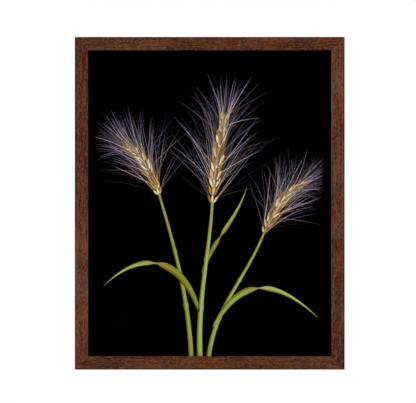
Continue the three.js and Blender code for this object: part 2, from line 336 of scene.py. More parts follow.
def mesh_of(name, bm):
    """Turns a mesh under construction into mesh data."""
    mesh = bpy.data.meshes.new(name)
    bm.to_mesh(mesh)
    bm.free()
    return mesh


floor_mesh = bmesh.new()
floor_size = Vector((2 * FLOOR_REACH[0], FLOOR_REACH[1] + FLOOR_FAR_EDGE, 1.0))
floor_place = Vector((0, (FLOOR_FAR_EDGE - FLOOR_REACH[1]) / 2, cad_low.z - FLOOR_DROP))
bmesh.ops.create_grid(floor_mesh, x_segments=8, y_segments=8, size=0.5)
bmesh.ops.scale(floor_mesh, verts=floor_mesh.verts, vec=floor_size)
bmesh.ops.translate(floor_mesh, verts=floor_mesh.verts, vec=floor_place)
floor_data = mesh_of("floor", floor_mesh)
floor_data.materials.append(pale.material)
placed("floor", floor_data)
print("floor, mm below the frame:", round(FLOOR_DROP / MM))

# %% [markdown]
# ## From a mesh to a piece
# Every piece below goes through the same last steps: outward faces, a finish, smooth
# shading that keeps the real edges sharp, the solid that it stands for, and the body that
# it moves with. One function does all of them, so no piece can miss one.

# %% Turn a mesh under construction into a piece
SHARP_ANGLE = math.radians(38)


def finish_piece(name, bm, finish, replaced=(), body="frame", thickness=0.0):
    """Makes an object of a bmesh, dressed and riding on its body."""
    if not thickness:
        bmesh.ops.recalc_face_normals(bm, faces=bm.faces)
    mesh = mesh_of(name, bm)
    mesh.materials.append(finish.material)
    mesh.shade_smooth()
    mesh.set_sharp_from_angle(angle=SHARP_ANGLE)
    piece = placed(name, mesh)
    if thickness:
        sheet = piece.modifiers.new("thickness", "SOLIDIFY")
        sheet.thickness = thickness
        sheet.offset = -1
    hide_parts(*replaced)
    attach(piece, body)
    print(name, "faces:", len(mesh.polygons), "finish:", finish.material.name)


def dress_solid(node, finish):
    """Gives a finish to a solid whose shape is right already."""
    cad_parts[node].material_slots[0].material = finish.material
    print(node, "keeps its shape, finish:", finish.material.name)


def middle_of(node):
    """The middle of a solid's box."""
    low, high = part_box(node)
    return (low + high) / 2


def seat_at(node, y):
    """The middle of a solid's box, at another depth."""
    middle = middle_of(node)
    return Vector((middle.x, y, middle.z))


# %% Small modelling helpers
def move(bm, vec, verts=None):
    """Moves some corners of a mesh, or all of them."""
    bmesh.ops.translate(bm, verts=verts or bm.verts, vec=vec)


def rotate(bm, degrees, axis, verts=None):
    """Turns some corners of a mesh, or all of them, about an axis through the origin."""
    matrix = Matrix.Rotation(math.radians(degrees), 3, axis)
    bmesh.ops.rotate(bm, verts=verts or bm.verts, matrix=matrix)


def pull(bm, faces, vec):
    """Extrudes some faces along a vector."""
    pulled = bmesh.ops.extrude_face_region(bm, geom=faces)["geom"]
    move(bm, vec, [item for item in pulled if isinstance(item, bmesh.types.BMVert)])


def span_of(verts):
    """The low and the high corner of the box around some vertices."""
    axes = list(zip(*(vert.co for vert in verts)))
    return Vector([min(axis) for axis in axes]), Vector([max(axis) for axis in axes])


def open_edges(bm):
    """How many edges of a mesh don't join exactly two faces."""
    return sum(not edge.is_manifold for edge in bm.edges)


def ease(bm, edges, radius, segments):
    """Rounds some edges."""
    bmesh.ops.bevel(
        bm,
        geom=edges,
        offset=radius,
        offset_type="OFFSET",
        segments=segments,
        profile=0.5,
        affect="EDGES",
        material=-1,
        clamp_overlap=True,
    )


def crisp_edges(bm, least=math.radians(50)):
    """The edges where two faces meet at a real corner."""
    bm.normal_update()
    return [edge for edge in bm.edges if edge.is_manifold and edge.calc_face_angle() > least]


def carve(bm, cutter):
    """Takes the shape of one closed mesh out of another."""
    bodies = []
    for name, source in (("carved", bm), ("cutter", cutter)):
        bmesh.ops.recalc_face_normals(source, faces=source.faces)
        bodies.append(placed(name, mesh_of(name, source)))
    cut = bodies[0].modifiers.new("cut", "BOOLEAN")
    cut.operation = "DIFFERENCE"
    cut.solver = "MANIFOLD"
    cut.object = bodies[1]
    graph = bpy.context.evaluated_depsgraph_get()
    result = bmesh.new()
    result.from_object(bodies[0], graph)
    for body in bodies:
        bpy.data.meshes.remove(body.data)
    return result


# %% [markdown]
# ## Stained wood
# The rails are a coarse, open wood under a dark brown stain. Stain sinks in unevenly, so
# the colour drifts in patches, in short streaks along the grain and in fine lines, and the
# open pores stay darkest. Each of these is one noise, stretched along the grain. The backs
# and the rabbet of a real moulding are raw wood, with the stain lapping over the edge.

# %% The wood of one rail
def stained_wood(name, upright, seed, fading, paler):
    """Stained wood whose grain runs along an upright or a level rail.

    fading is how much paler the bar gets over each metre to the right or up, and
    paler is how much paler the whole bar is made.
    """
    wood = Finish(name, {"Specular IOR Level": 0.10})
    x, y, z = wood.object_place()
    run = z - MIDDLE.z if upright else x - MIDDLE.x
    cross = x - MIDDLE.x if upright else z - MIDDLE.z
    inwards = (HALF_WIDTH if upright else HALF_HEIGHT) - abs(cross)

    def grain(across, along, detail, shift):
        place = wood.vector(cross * across + seed, y * across + shift, run * along + seed * 1.7)
        return wood.noise(place, detail)

    drift = grain(6, 9, 1.0, 3.1)
    patches = grain(50, 20, 2.0, 7.7)
    threads = grain(700, 14, 2.0, 21.1)
    strands = grain(640, 55, 2.0, 33.3)
    mottle = grain(350, 70, 3.0, 1.3)
    streaks = grain(700, 310, 2.0, 5.9)
    lines = grain(4200, 120, 2.0, 9.2)
    split_up = lines.between(0.36, 0.64) * 1.2 + 0.4
    slow = run * fading + (drift - 0.5) * (0.7 if upright else 0.4)
    tone = slow + (patches - 0.5) * 0.5 + (threads - 0.5) * 1.1 + (strands - 0.5) * 1.1
    tone = tone + (streaks - 0.5) * split_up * (1.8 if upright else 2.2)
    tone = tone + (lines - 0.5) * 1.1 + 0.5 + paler
    if upright:
        shades = [(0.034, 0.0036, 0.0003), (0.084, 0.0236, 0.0058), (0.148, 0.0560, 0.0185)]
    else:
        shades = [(0.034, 0.0036, 0.0002), (0.082, 0.0218, 0.0036), (0.150, 0.0510, 0.0115)]
    stained = wood.ramp(tone, (0.08, 0.50, 0.92), shades)
    hue = grain(22, 24, 2.0, 27.5) * 0.6 + grain(420, 110, 2.0, 41.0) * 0.4
    cooler = (0.89, 1.01, 2.0) if upright else (0.87, 1.02, 2.6)
    stained = wood.mix(hue.between(0.40, 0.60), stained, cooler, "MULTIPLY")
    pores = grain(3600, 210, 2.0, 15.0).between(0.60, 0.70)
    clusters = grain(45, 14, 2.0, 18.2)
    spots = wood.cells(wood.vector(cross * 400 + seed, y * 400, run * 130))
    spots = spots + (lines - 0.5) * 0.35
    flecks = (1 - spots.between(0.16, 0.30)) * clusters.between(0.45, 0.60)
    specks = (1 - spots.between(0.20, 0.36)) * clusters.between(0.60, 0.66)
    dark = (pores * 0.35 + flecks * 0.75 + specks).smallest(1.0)
    stained = wood.mix(dark, stained, (0.0170, 0.0040, 0.0018))
    stained = wood.mix(specks * 0.8, stained, (0.0060, 0.0022, 0.0014))

    # painted shade: a darker, redder band along the outer eased edge of the face, where it turns away
    # from the light
    face_only = 1 - y.between(FRONT_Y + 0.8 * MM, FRONT_Y + 2.2 * MM)
    outer_painted_shade = (1 - (inwards + (mottle - 0.5) * MM).between(2.0 * MM, 3.2 * MM)) * face_only
    # painted highlights: a thin lighter line just inside the outer eased edge, and a lighter line along
    # the sight edge, stronger on the upright rails, where the eased edges catch the light
    painted_rim_highlight = inwards.between(2.6 * MM, 3.4 * MM) * (1 - inwards.between(3.8 * MM, 5.2 * MM))
    painted_sight_highlight = inwards.between(FACE - 2.0 * MM, FACE - 0.7 * MM)
    # the painted shade darkens and reddens the outer band of the face
    stained = wood.mix(outer_painted_shade, stained, (0.84, 0.46, 0.14), "MULTIPLY")
    # the painted highlights lighten the stain along these two lines
    painted_highlights = painted_rim_highlight * 0.08 + painted_sight_highlight * (0.14 if upright else 0.04)
    stained = wood.tinted(stained, painted_highlights + 1)

    pale = (threads - 0.5) * 1.1 + (strands - 0.5) * 0.9 + (lines - 0.5) * 1.3
    pale = pale + (streaks - 0.5) * 0.5 + 0.5
    raw_shades = [(0.300, 0.180, 0.095), (0.420, 0.275, 0.155), (0.500, 0.345, 0.205)]
    raw = wood.ramp(pale, (0.25, 0.60, 0.80), raw_shades)
    lap = (mottle - 0.5) * 2.2 * MM
    on_back = (y + lap).between(BACK_Y - 1.3 * MM, BACK_Y - 0.5 * MM)
    in_rabbet = (inwards + lap * 0.3).between(FACE - RABBET - 0.5 * MM, FACE - RABBET - 0.1 * MM)
    in_rabbet = in_rabbet * y.between(LIP_Y - 0.3 * MM, LIP_Y)
    bare = on_back.largest(in_rabbet)
    wood.feed("Base Color", wood.mix(bare, stained, raw))
    wood.feed("Roughness", 0.46 + dark * 0.15 + bare * 0.25 + (streaks - 0.5) * 0.2)
    height = lines * 0.35 + streaks * 0.35 + mottle * 0.3 - dark * 0.9
    wood.raised(height, 0.12 * MM, 0.8)
    return wood


# %% [markdown]
# ## Rails
# A frame maker buys moulding as a long bar: a flat face, eased edges, and a rabbet behind
# the lip that holds the glazing. The bar is cut at 45 degrees and joined. So each rail is
# made the same way here: draw the section, pull it into a bar, round its long edges, and
# slice both ends. Rounding before slicing gives mitres that meet all round the section.

# %% One bar of moulding
RAIL_EASE = 1.2 * MM
LIP_EASE = 0.4 * MM
BACK_EASE = 0.6 * MM
EASING = [
    # corner of the section, radius, segments
    (0, RAIL_EASE, 6),
    (1, RAIL_EASE, 6),
    (2, LIP_EASE, 3),
    (4, BACK_EASE, 4),
    (5, BACK_EASE, 4),
]


def moulding_bar(half_length):
    """A bar along X whose outer edge lies at z = 0 and whose lip reaches down."""
    section = [(0, FRONT_Y), (FACE, FRONT_Y), (FACE, LIP_Y)]
    section += [(FACE - RABBET, LIP_Y), (FACE - RABBET, BACK_Y), (0, BACK_Y)]
    bar = bmesh.new()
    corners = [bar.verts.new((-half_length, y, -inwards)) for inwards, y in section]
    pull(bar, [bar.faces.new(corners)], (2 * half_length, 0, 0))
    for corner, radius, segments in EASING:
        inwards, y = section[corner]
        at_corner = [
            edge
            for edge in bar.edges
            if all(abs(vert.co.z + inwards) < 1e-6 and abs(vert.co.y - y) < 1e-6 for vert in edge.verts)
        ]
        ease(bar, at_corner, radius, segments)
    return bar


# %% Slice its ends to 45 degrees
MITRE_EASE = 0.12 * MM


def mitre(bar, half_outside):
    """Cuts both ends of a bar and rounds the cut edges a little."""
    for end in (-1, 1):
        cut = bmesh.ops.bisect_plane(
            bar,
            geom=bar.verts[:] + bar.edges[:] + bar.faces[:],
            plane_co=(end * half_outside, 0, 0),
            plane_no=(end, 0, -1),
            clear_outer=True,
        )["geom_cut"]
        rim = [item for item in cut if isinstance(item, bmesh.types.BMEdge)]
        bmesh.ops.edgeloop_fill(bar, edges=rim)
        ease(bar, rim, MITRE_EASE, 1)


# %% Sockets for the wedges, screws and nails
WEDGE_LEG = 6.0 * MM
WEDGE_THICKNESS = 0.6 * MM
WEDGE_APEX = 9.5 * MM
SCREW_SHANK_RADIUS = 1.45 * MM
NAIL_SHANK_RADIUS = 0.75 * MM
SOCKET_ROOM = 0.1 * MM
CUT_BEYOND = 1.0 * MM  # how far a cutter stands out of what it cuts
wedge_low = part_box("corner_wedge_top_right")[0]


def block(bm, low, high):
    """Adds a box between two corners and returns its vertices."""
    low, high = Vector(low), Vector(high)
    verts = bmesh.ops.create_cube(bm, size=1.0)["verts"]
    bmesh.ops.scale(bm, verts=verts, vec=high - low)
    move(bm, (low + high) / 2, verts)
    return verts


def rod(bm, radius, low_y, high_y, segments=24):
    """Adds a closed cylinder along Y and returns its vertices."""
    depth = high_y - low_y
    verts = bmesh.ops.create_cone(
        bm, cap_ends=True, segments=segments, radius1=radius, radius2=radius, depth=depth
    )["verts"]
    rotate(bm, 90, "X", verts)
    move(bm, (0, (low_y + high_y) / 2, 0), verts)
    return verts


def sockets(half_outside, pins):
    """The room that one rail gives to what is driven into it from behind."""
    room = bmesh.new()
    slack = Vector((SOCKET_ROOM, SOCKET_ROOM, SOCKET_ROOM))
    for end in (-1, 1):
        # the leg in this rail starts on the mitre and points at the rail's outer edge
        apex = end * (half_outside - WEDGE_APEX)
        half = WEDGE_THICKNESS / 2
        low = Vector((apex - half, wedge_low.y, -WEDGE_APEX - half))
        high = Vector((apex + half, BACK_Y + CUT_BEYOND, -WEDGE_APEX + WEDGE_LEG))
        block(room, low - slack, high + slack)
    for along, height, radius, point_y in pins:
        hole = rod(room, radius + SOCKET_ROOM, point_y - SOCKET_ROOM, BACK_Y + CUT_BEYOND)
        move(room, (along, 0, height), hole)
    return room


# %% Cut, drill and place the four rails
RAILS = [
    # name, quarter turns from the top, screws in it, seed of its grain, fading, how much paler
    ("top", 0, ("top_left", "top_right"), 2.3, -0.22, 0.034),
    ("right", 1, ("right_upper", "right_lower"), 11.9, 1.00, 0.0),
    ("bottom", 2, ("bottom_right", "bottom_left"), 23.4, 0.22, -0.015),
    ("left", 3, ("left_upper", "left_lower"), 37.6, -0.60, 0.027),
]
HANGER_NAILS = ("hanger_nail_left", "hanger_nail_right")

for side, quarters, screws, seed, fading, paler in RAILS:
    name = side + "_rail"
    upright = quarters % 2 == 1
    half_outside = HALF_HEIGHT if upright else HALF_WIDTH
    half_across = HALF_WIDTH if upright else HALF_HEIGHT
    turn = Matrix.Rotation(quarters * math.radians(90), 3, "Y")
    driven = [("button_screw_" + screw, SCREW_SHANK_RADIUS) for screw in screws]
    if quarters == 0:
        driven += [(nail, NAIL_SHANK_RADIUS) for nail in HANGER_NAILS]
    pins = []
    for pin, radius in driven:
        place = turn.inverted() @ (middle_of(pin) - MIDDLE)
        pins.append((place.x, place.z - half_across, radius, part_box(pin)[0].y))
    bar = moulding_bar(half_outside + FACE)
    mitre(bar, half_outside)
    rail = carve(bar, sockets(half_outside, pins))
    move(rail, (0, 0, half_across))
    bmesh.ops.rotate(rail, verts=rail.verts, matrix=turn)
    move(rail, (MIDDLE.x, 0, MIDDLE.z))
    print(name, "open edges:", open_edges(rail))
    wood = stained_wood(name + "_wood", upright, seed, fading, paler)
    finish_piece(name, rail, wood, ["rail_" + side])

# %% [markdown]
# ## Clear glazing
# The glazing is two millimetres of clear acrylic. Real refraction would cost much time and
# show nothing, as the sheet is flat and thin. So it lets light straight through and only
# adds the gloss of its surface, more at a slant than straight on.

# %% Clear glazing
MIRRORED_HEAD_ON = 0.035
MIRRORED_SLANTED = 0.9
ANTI_GLARE = 0.45
clear = Finish("clear_acrylic", {})
tree = clear.tree
tree.nodes.remove(clear.shader)
glimpse = clear.node("ShaderNodeBsdfTransparent", {}, {"Color": (0.985, 0.99, 0.985, 1)})
gloss = clear.node("ShaderNodeBsdfAnisotropic", {}, {"Color": (1, 1, 1, 1), "Roughness": 0.04})
slant = clear.node("ShaderNodeLayerWeight", {}, {"Blend": 0.5}, "Facing")
mirrored = (MIRRORED_HEAD_ON + slant.power(5.0) * MIRRORED_SLANTED) * ANTI_GLARE
skin = clear.node("ShaderNodeMixShader", {}, {0: mirrored, 1: glimpse, 2: gloss})
tree.links.new(skin.socket, tree.nodes["Material Output"].inputs["Surface"])
dress_solid("glazing", clear)

# %% [markdown]
# ## Paper and boards
# Behind the glazing lie the print, a white foam board that keeps it flat, and a brown
# fibreboard that closes the back. The print is a thin sheet with a deep black ground right
# out to its edges. Deep black ink on satin paper still shows the tooth of the paper, so a
# fine noise moves its gloss. The fibreboard shows pressed fibres and darker specks.

# %% The black print
PAPER_THICKNESS = 0.2 * MM
paper = Finish("printed_black", {"Specular IOR Level": 0.0})
tooth = paper.clouds(2600, 3.0)
wash = paper.clouds(9, 2.0)
paper.feed("Base Color", paper.mix(wash, (0.0002, 0.0002, 0.0003), (0.0006, 0.0005, 0.0007)))
paper.feed("Roughness", 0.5 + (tooth - 0.5) * 0.2)
paper.raised(tooth, 0.01 * MM, 0.3)

sheet = bmesh.new()
bmesh.ops.create_grid(sheet, x_segments=8, y_segments=10, size=0.5)
rotate(sheet, 90, "X")
sheet_size = sheet_high - sheet_low
PRINT_FRONT_Y = sheet_high.y - PAPER_THICKNESS
bmesh.ops.scale(sheet, verts=sheet.verts, vec=(sheet_size.x, 1, sheet_size.z))
move(sheet, (MIDDLE.x, PRINT_FRONT_Y, MIDDLE.z))
finish_piece(
    "print_paper", sheet, paper, ["print_sheet"], thickness=PAPER_THICKNESS
)
print("paper front, mm:", round(PRINT_FRONT_Y / MM, 3))

# %% Foam board
foam = Finish("foam_board_paper", {"Roughness": 0.85, "Specular IOR Level": 0.2})
speckle = foam.clouds(900, 4.0)
foam.feed("Base Color", foam.mix(speckle, (0.74, 0.73, 0.70), (0.84, 0.83, 0.80)))
foam.raised(speckle, 0.05 * MM, 0.4)
dress_solid("foam_board", foam)

# %% Pressed fibreboard
board = Finish("pressed_fibreboard", {"Specular IOR Level": 0.25})
x, y, z = board.object_place()
cloud = board.clouds(14, 4.0)
fibre_bend = board.clouds(260, 2.0)


def fibres_along(degrees):
    """Fibres that lie along one direction in the plane of the board."""
    cosine, sine = math.cos(math.radians(degrees)), math.sin(math.radians(degrees))
    along = (x * cosine + z * sine) * 420 + degrees
    across = (z * cosine - x * sine) * 2500 + fibre_bend * 5
    return board.noise(board.vector(along, y * 400, across), 3.0)


fibres = [fibres_along(degrees) for degrees in (14, 61, 103, 152)]
mat = (fibres[0] + fibres[1] + fibres[2] + fibres[3]) * 0.25
top_fibres = fibres[0].largest(fibres[2]).between(0.56, 0.72)
specks = board.cells(board.vector(x * 300 + fibre_bend, y * 300, z * 420))
specks = 1 - specks.between(0.06, 0.16)
browns = [(0.150, 0.075, 0.033), (0.235, 0.130, 0.060), (0.330, 0.200, 0.100)]
shade = (mat - 0.5) * 1.6 + (cloud - 0.5) * 0.16 + top_fibres * 0.08 + 0.46
brown = board.ramp(shade, (0.30, 0.50, 0.68), browns)
board.feed("Base Color", board.mix(specks * 0.55, brown, (0.080, 0.038, 0.018)))
board.feed("Roughness", 0.60 + (mat - 0.5) * 0.4)
board.raised(mat * 0.7 + top_fibres * 0.2 - specks * 0.2, 0.12 * MM, 0.6)

BOARD_EASE = 0.35 * MM
backing = bmesh.new()
block(backing, *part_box("backing_board"))
ease(backing, backing.edges[:], BOARD_EASE, 2)
finish_piece("backing_panel", backing, board, ["backing_board"])

# %% [markdown]
# ## Zinc, steel and rubber
# The fittings on the back are cheap pressed steel under a bright zinc plate. Plating is
# never even: it clouds, it takes a faint blue or straw tint, and handling scratches it.
# Bumpers are soft rubber with a dusty bloom. Scratches are long thin noise, and all of it
# reads the place on the piece, so no two fittings are marked alike.

# %% Metal and rubber finishes
def plated(name, cool, warm, gloss, seed):
    """A plated metal with clouds, a faint tint and fine scratches."""
    metal = Finish(name, {"Metallic": 1.0})
    x, y, z = metal.object_place()
    cloud = metal.noise(metal.vector(x * 130 + seed, y * 130, z * 130), 4.0)
    tint = metal.noise(metal.vector(x * 45, y * 45 + seed, z * 45), 2.0)
    slant = metal.vector(x * 3600 + z * 2800, y * 900 + seed, z * 110 - x * 140)
    scratches = metal.noise(slant, 2.0).between(0.60, 0.72)
    colour = metal.mix(tint.between(0.35, 0.65), cool, warm)
    metal.feed("Base Color", metal.tinted(colour, 0.84 + cloud * 0.3 - scratches * 0.06))
    metal.feed("Roughness", gloss + (cloud - 0.5) * 0.3 + scratches * 0.12)
    metal.raised(cloud * 0.5 - scratches * 0.5, 0.02 * MM, 0.5)
    return metal


zinc = plated("zinc_plating", (0.60, 0.62, 0.66), (0.68, 0.65, 0.57), 0.30, 3.0)
screw_metal = plated("screw_plating", (0.56, 0.57, 0.60), (0.62, 0.60, 0.54), 0.24, 11.0)
wedge_metal = plated("wedge_metal", (0.32, 0.33, 0.35), (0.38, 0.35, 0.31), 0.40, 23.0)

rubber = Finish("bumper_rubber", {"Specular IOR Level": 0.35})
bloom = rubber.clouds(420, 4.0)
dust = rubber.clouds(90, 3.0).between(0.45, 0.70)
rubber.feed("Base Color", rubber.mix(dust * 0.5, (0.030, 0.029, 0.028), (0.085, 0.080, 0.072)))
rubber.feed("Roughness", 0.66 + bloom * 0.25)
rubber.raised(bloom, 0.05 * MM, 0.5)

# %% [markdown]
# ## Turn buttons
# A turn button is a small stamped strip with round ends and a hole near one end. A long
# bead is pressed up along its arm to stiffen it. The strip starts as two circles, one for
# the outline and one for the hole. Half of the outer circle is pulled away, the two are
# bridged, and the flat ring gets its thickness and its rounded edges.

# %% One turn button, with its screw at the origin and its arm along X
BUTTON_RADIUS = 5.0 * MM
BUTTON_HOLE_RADIUS = 1.55 * MM
BEAD_HALF_WIDTH = 1.7 * MM
BEAD_HEIGHT = 0.55 * MM
BEAD_START = 0.98  # of the button's radius
BEAD_SHARE = 0.62  # of the arm
BEAD_SUNK = 0.02 * MM
BUTTON_EASE = 0.22 * MM
plate_low, plate_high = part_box("turn_button_top_left")
BUTTON_THICKNESS = plate_high.y - plate_low.y
BUTTON_REACH = (plate_high.z - plate_low.z) - 2 * BUTTON_RADIUS


def turn_button():
    """A stamped strip whose back face looks along +Y."""
    button = bmesh.new()
    outline = bmesh.ops.create_circle(button, segments=48, radius=BUTTON_RADIUS)["verts"]
    move(button, (BUTTON_REACH, 0, 0), [vert for vert in outline if vert.co.x > 1e-7])
    bmesh.ops.create_circle(button, segments=48, radius=BUTTON_HOLE_RADIUS)
    ring = bmesh.ops.bridge_loops(button, edges=button.edges[:])["faces"]
    pull(button, ring, (0, 0, BUTTON_THICKNESS))
    bmesh.ops.recalc_face_normals(button, faces=button.faces)
    ease(button, crisp_edges(button), BUTTON_EASE, 3)
    bead = bmesh.ops.create_uvsphere(button, u_segments=24, v_segments=12, radius=1.0)["verts"]
    bmesh.ops.scale(button, verts=bead, vec=(BEAD_HALF_WIDTH, BEAD_HALF_WIDTH, BEAD_HEIGHT))
    move(button, (BUTTON_REACH * BEAD_SHARE, 0, 0), [vert for vert in bead if vert.co.x > 1e-7])
    move(button, (BUTTON_RADIUS * BEAD_START, 0, BUTTON_THICKNESS - BEAD_SUNK), bead)
    # the strip lies flat so far: stand it up, so that its thickness runs along +Y
    rotate(button, -90, "X")
    move(button, (0, plate_low.y, 0))
    return button


# %% [markdown]
# ## Pan-head screws
# A screw is turned on a lathe, and so is this one: half of its outline is spun round its
# axis. The cross recess is then carved out with two tapered blades. Each screw is left at
# an angle of its own, as a hand leaves it.

# %% Turned pins
def turned_pin(profile, segments=32):
    """Spins a profile of radius and height round the Y axis."""
    pin = bmesh.new()
    verts = [pin.verts.new((radius, height, 0)) for radius, height in profile]
    edges = [pin.edges.new(pair) for pair in zip(verts, verts[1:])]
    bmesh.ops.spin(
        pin,
        geom=verts + edges,
        cent=(0, 0, 0),
        axis=(0, 1, 0),
        dvec=(0, 0, 0),
        angle=math.radians(360),
        steps=segments,
        use_merge=True,
        use_duplicate=False,
    )
    bmesh.ops.remove_doubles(pin, verts=pin.verts, dist=1e-7)
    bmesh.ops.recalc_face_normals(pin, faces=pin.faces)
    return pin


def dome(radius, low, high, steps, flat=0.0):
    """Points over a low dome, from its rim to its middle."""
    points = []
    for step in range(steps + 1):
        angle = math.radians(90) * step / steps
        out = flat + (radius - flat) * math.cos(angle)
        points.append((out, low + (high - low) * math.sin(angle)))
    if flat:
        points.append((0.0, high))
    return points


def pin_outline(length, point, shank, head, edge):
    """Half the outline of a pin, from its point to the sharp edge of its head."""
    return [(0.0, -length), (shank, point - length), (shank, 0.0), (head - edge, 0.0), (head, edge)]


# %% One screw, with the underside of its head at the origin
SCREW_HEAD_RADIUS = 2.8 * MM
SCREW_HEAD_HEIGHT = 1.6 * MM
RECESS_REACH = 1.75 * MM
RECESS_WIDTH = 0.62 * MM
RECESS_DEPTH = 1.15 * MM
RECESS_TAPER = (0.35, 1, 0.6)
SCREW_POINT = 2.0 * MM
SCREW_EDGE = 0.12 * MM
SCREW_RIM = 0.55 * MM
SCREW_FLAT = 0.9 * MM
screw_low, screw_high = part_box("button_screw_top_left")
SCREW_SEAT_Y = screw_high.y - SCREW_HEAD_HEIGHT
SCREW_LENGTH = SCREW_SEAT_Y - screw_low.y


def button_screw():
    """A pan-head screw with a cross recess, its head towards +Y."""
    profile = pin_outline(
        SCREW_LENGTH, SCREW_POINT, SCREW_SHANK_RADIUS, SCREW_HEAD_RADIUS, SCREW_EDGE
    )
    profile += dome(SCREW_HEAD_RADIUS, SCREW_RIM, SCREW_HEAD_HEIGHT, 7, SCREW_FLAT)
    screw = turned_pin(profile)
    for degrees in (0, 90):
        blade = bmesh.new()
        low = (-RECESS_REACH, SCREW_HEAD_HEIGHT - RECESS_DEPTH, -RECESS_WIDTH / 2)
        high = (RECESS_REACH, SCREW_HEAD_HEIGHT + CUT_BEYOND / 2, RECESS_WIDTH / 2)
        verts = block(blade, low, high)
        bottom = [vert for vert in verts if vert.co.y < SCREW_HEAD_HEIGHT - RECESS_DEPTH / 2]
        bmesh.ops.scale(blade, verts=bottom, vec=RECESS_TAPER)
        rotate(blade, degrees, "Y")
        screw = carve(screw, blade)
    return screw


# %% Screw the eight buttons on
BUTTONS = ["top_left", "top_right", "right_upper", "right_lower"]
BUTTONS += ["bottom_right", "bottom_left", "left_lower", "left_upper"]
hand = random.Random(5)
for place in BUTTONS:
    node = "turn_button_" + place
    screw_node = "button_screw_" + place
    arm = middle_of(node) - middle_of(screw_node)
    button = turn_button()
    rotate(button, math.degrees(math.atan2(-arm.z, arm.x)), "Y")
    move(button, seat_at(screw_node, 0))
    finish_piece("button_" + place, button, zinc, [node], body=node)
    screw = button_screw()
    rotate(screw, hand.uniform(0, 90), "Y")
    move(screw, seat_at(screw_node, SCREW_SEAT_Y))
    finish_piece("screw_" + place, screw, screw_metal, [screw_node])

# %% [markdown]
# ## Sawtooth hanger
# The frame hangs on a wall nail by a strip with a toothed lower edge. It is a flat strip,
# pressed up in the middle so that the nail head fits behind it. The strip starts as a thin
# block. Two cuts on each side mark the bends, the middle is pushed out, and the bends are
# rounded. Then the corners are rounded and the teeth and nail holes are cut.

# %% Bend the strip
HANGER_BRIDGE_HALF = 15.0 * MM
HANGER_FOOT = 17.0 * MM
HANGER_THICKNESS = 0.8 * MM
HANGER_BEND = 0.7 * MM
HANGER_CORNER = 1.5 * MM
HANGER_EASE = 0.12 * MM
NOTCHES = 9
NOTCH_PITCH = 3.0 * MM
NOTCH_WIDTH = 2.7 * MM
NOTCH_DEPTH = 2.0 * MM
NEARLY = 0.01 * MM
hanger_low, hanger_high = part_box("sawtooth_hanger")
HANGER_RISE = hanger_high.y - hanger_low.y - HANGER_THICKNESS


def edges_along(bm, axis, nearest, furthest):
    """The edges along one axis whose distance from the middle lies in a range."""
    chosen = []
    for edge in bm.edges:
        first, last = (vert.co for vert in edge.verts)
        if abs(last[axis] - first[axis]) > NEARLY and nearest < abs(first.x) < furthest:
            chosen.append(edge)
    return chosen


hanger = bmesh.new()
block(hanger, hanger_low, (hanger_high.x, hanger_low.y + HANGER_THICKNESS, hanger_high.z))
for bend in (HANGER_BRIDGE_HALF, HANGER_FOOT):
    for side in (-1, 1):
        strip = hanger.verts[:] + hanger.edges[:] + hanger.faces[:]
        bmesh.ops.bisect_plane(hanger, geom=strip, plane_co=(side * bend, 0, 0), plane_no=(1, 0, 0))
bridge = [vert for vert in hanger.verts if abs(vert.co.x) < HANGER_BRIDGE_HALF + NEARLY]
move(hanger, (0, HANGER_RISE, 0), bridge)
ease(hanger, edges_along(hanger, 2, 0, HANGER_FOOT + NEARLY), HANGER_BEND, 4)
ends = edges_along(hanger, 1, hanger_high.x - NEARLY, hanger_high.x + NEARLY)
ease(hanger, ends, HANGER_CORNER, 6)

# %% Cut the teeth and the nail holes
TOOTH_LONGER = 1.1  # the cutters start a little below the strip
TOOTH_THROUGH = 6.0 * MM
teeth = bmesh.new()
for index in range(NOTCHES):
    tooth = rod(teeth, 1.0, -0.5, 0.5, segments=3)
    low, high = span_of(tooth)
    wide = NOTCH_WIDTH * TOOTH_LONGER / (high.x - low.x)
    tall = NOTCH_DEPTH * TOOTH_LONGER / (high.z - low.z)
    bmesh.ops.scale(teeth, verts=tooth, vec=(wide, TOOTH_THROUGH, tall))
    middle = (index - (NOTCHES - 1) / 2) * NOTCH_PITCH
    rise = hanger_low.z + NOTCH_DEPTH - span_of(tooth)[1].z
    move(teeth, (middle, hanger_low.y + HANGER_RISE, rise), tooth)
hanger = carve(hanger, teeth)
holes = bmesh.new()
for nail in HANGER_NAILS:
    hole_radius = NAIL_SHANK_RADIUS + SOCKET_ROOM
    hole = rod(holes, hole_radius, BACK_Y - CUT_BEYOND, hanger_high.y + CUT_BEYOND)
    move(holes, seat_at(nail, 0), hole)
hanger = carve(hanger, holes)
ease(hanger, crisp_edges(hanger), HANGER_EASE, 2)
print("hanger, open edges:", open_edges(hanger))
finish_piece("hanger_strip", hanger, zinc, ["sawtooth_hanger"])

# %% Drive in its two nails
NAIL_HEAD_RADIUS = 1.7 * MM
NAIL_HEAD_HEIGHT = 0.7 * MM
NAIL_POINT = 1.5 * MM
NAIL_EDGE = 0.08 * MM
NAIL_RIM = 0.2 * MM
for nail in HANGER_NAILS:
    low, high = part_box(nail)
    seat = high.y - NAIL_HEAD_HEIGHT
    length = seat - low.y
    profile = pin_outline(length, NAIL_POINT, NAIL_SHANK_RADIUS, NAIL_HEAD_RADIUS, NAIL_EDGE)
    pin = turned_pin(profile + dome(NAIL_HEAD_RADIUS, NAIL_RIM, NAIL_HEAD_HEIGHT, 6))
    move(pin, seat_at(nail, seat))
    finish_piece(nail.replace("hanger_nail", "nail"), pin, screw_metal, [nail])

# %% [markdown]
# ## Wall bumpers and corner wedges
# Two rubber bumpers hold the bottom of the frame off the wall. Their free edge is rounded
# and their face is dished a little, as moulded rubber shrinks. The wedges are steel angles
# that are driven across each mitre until they sit just below the wood.

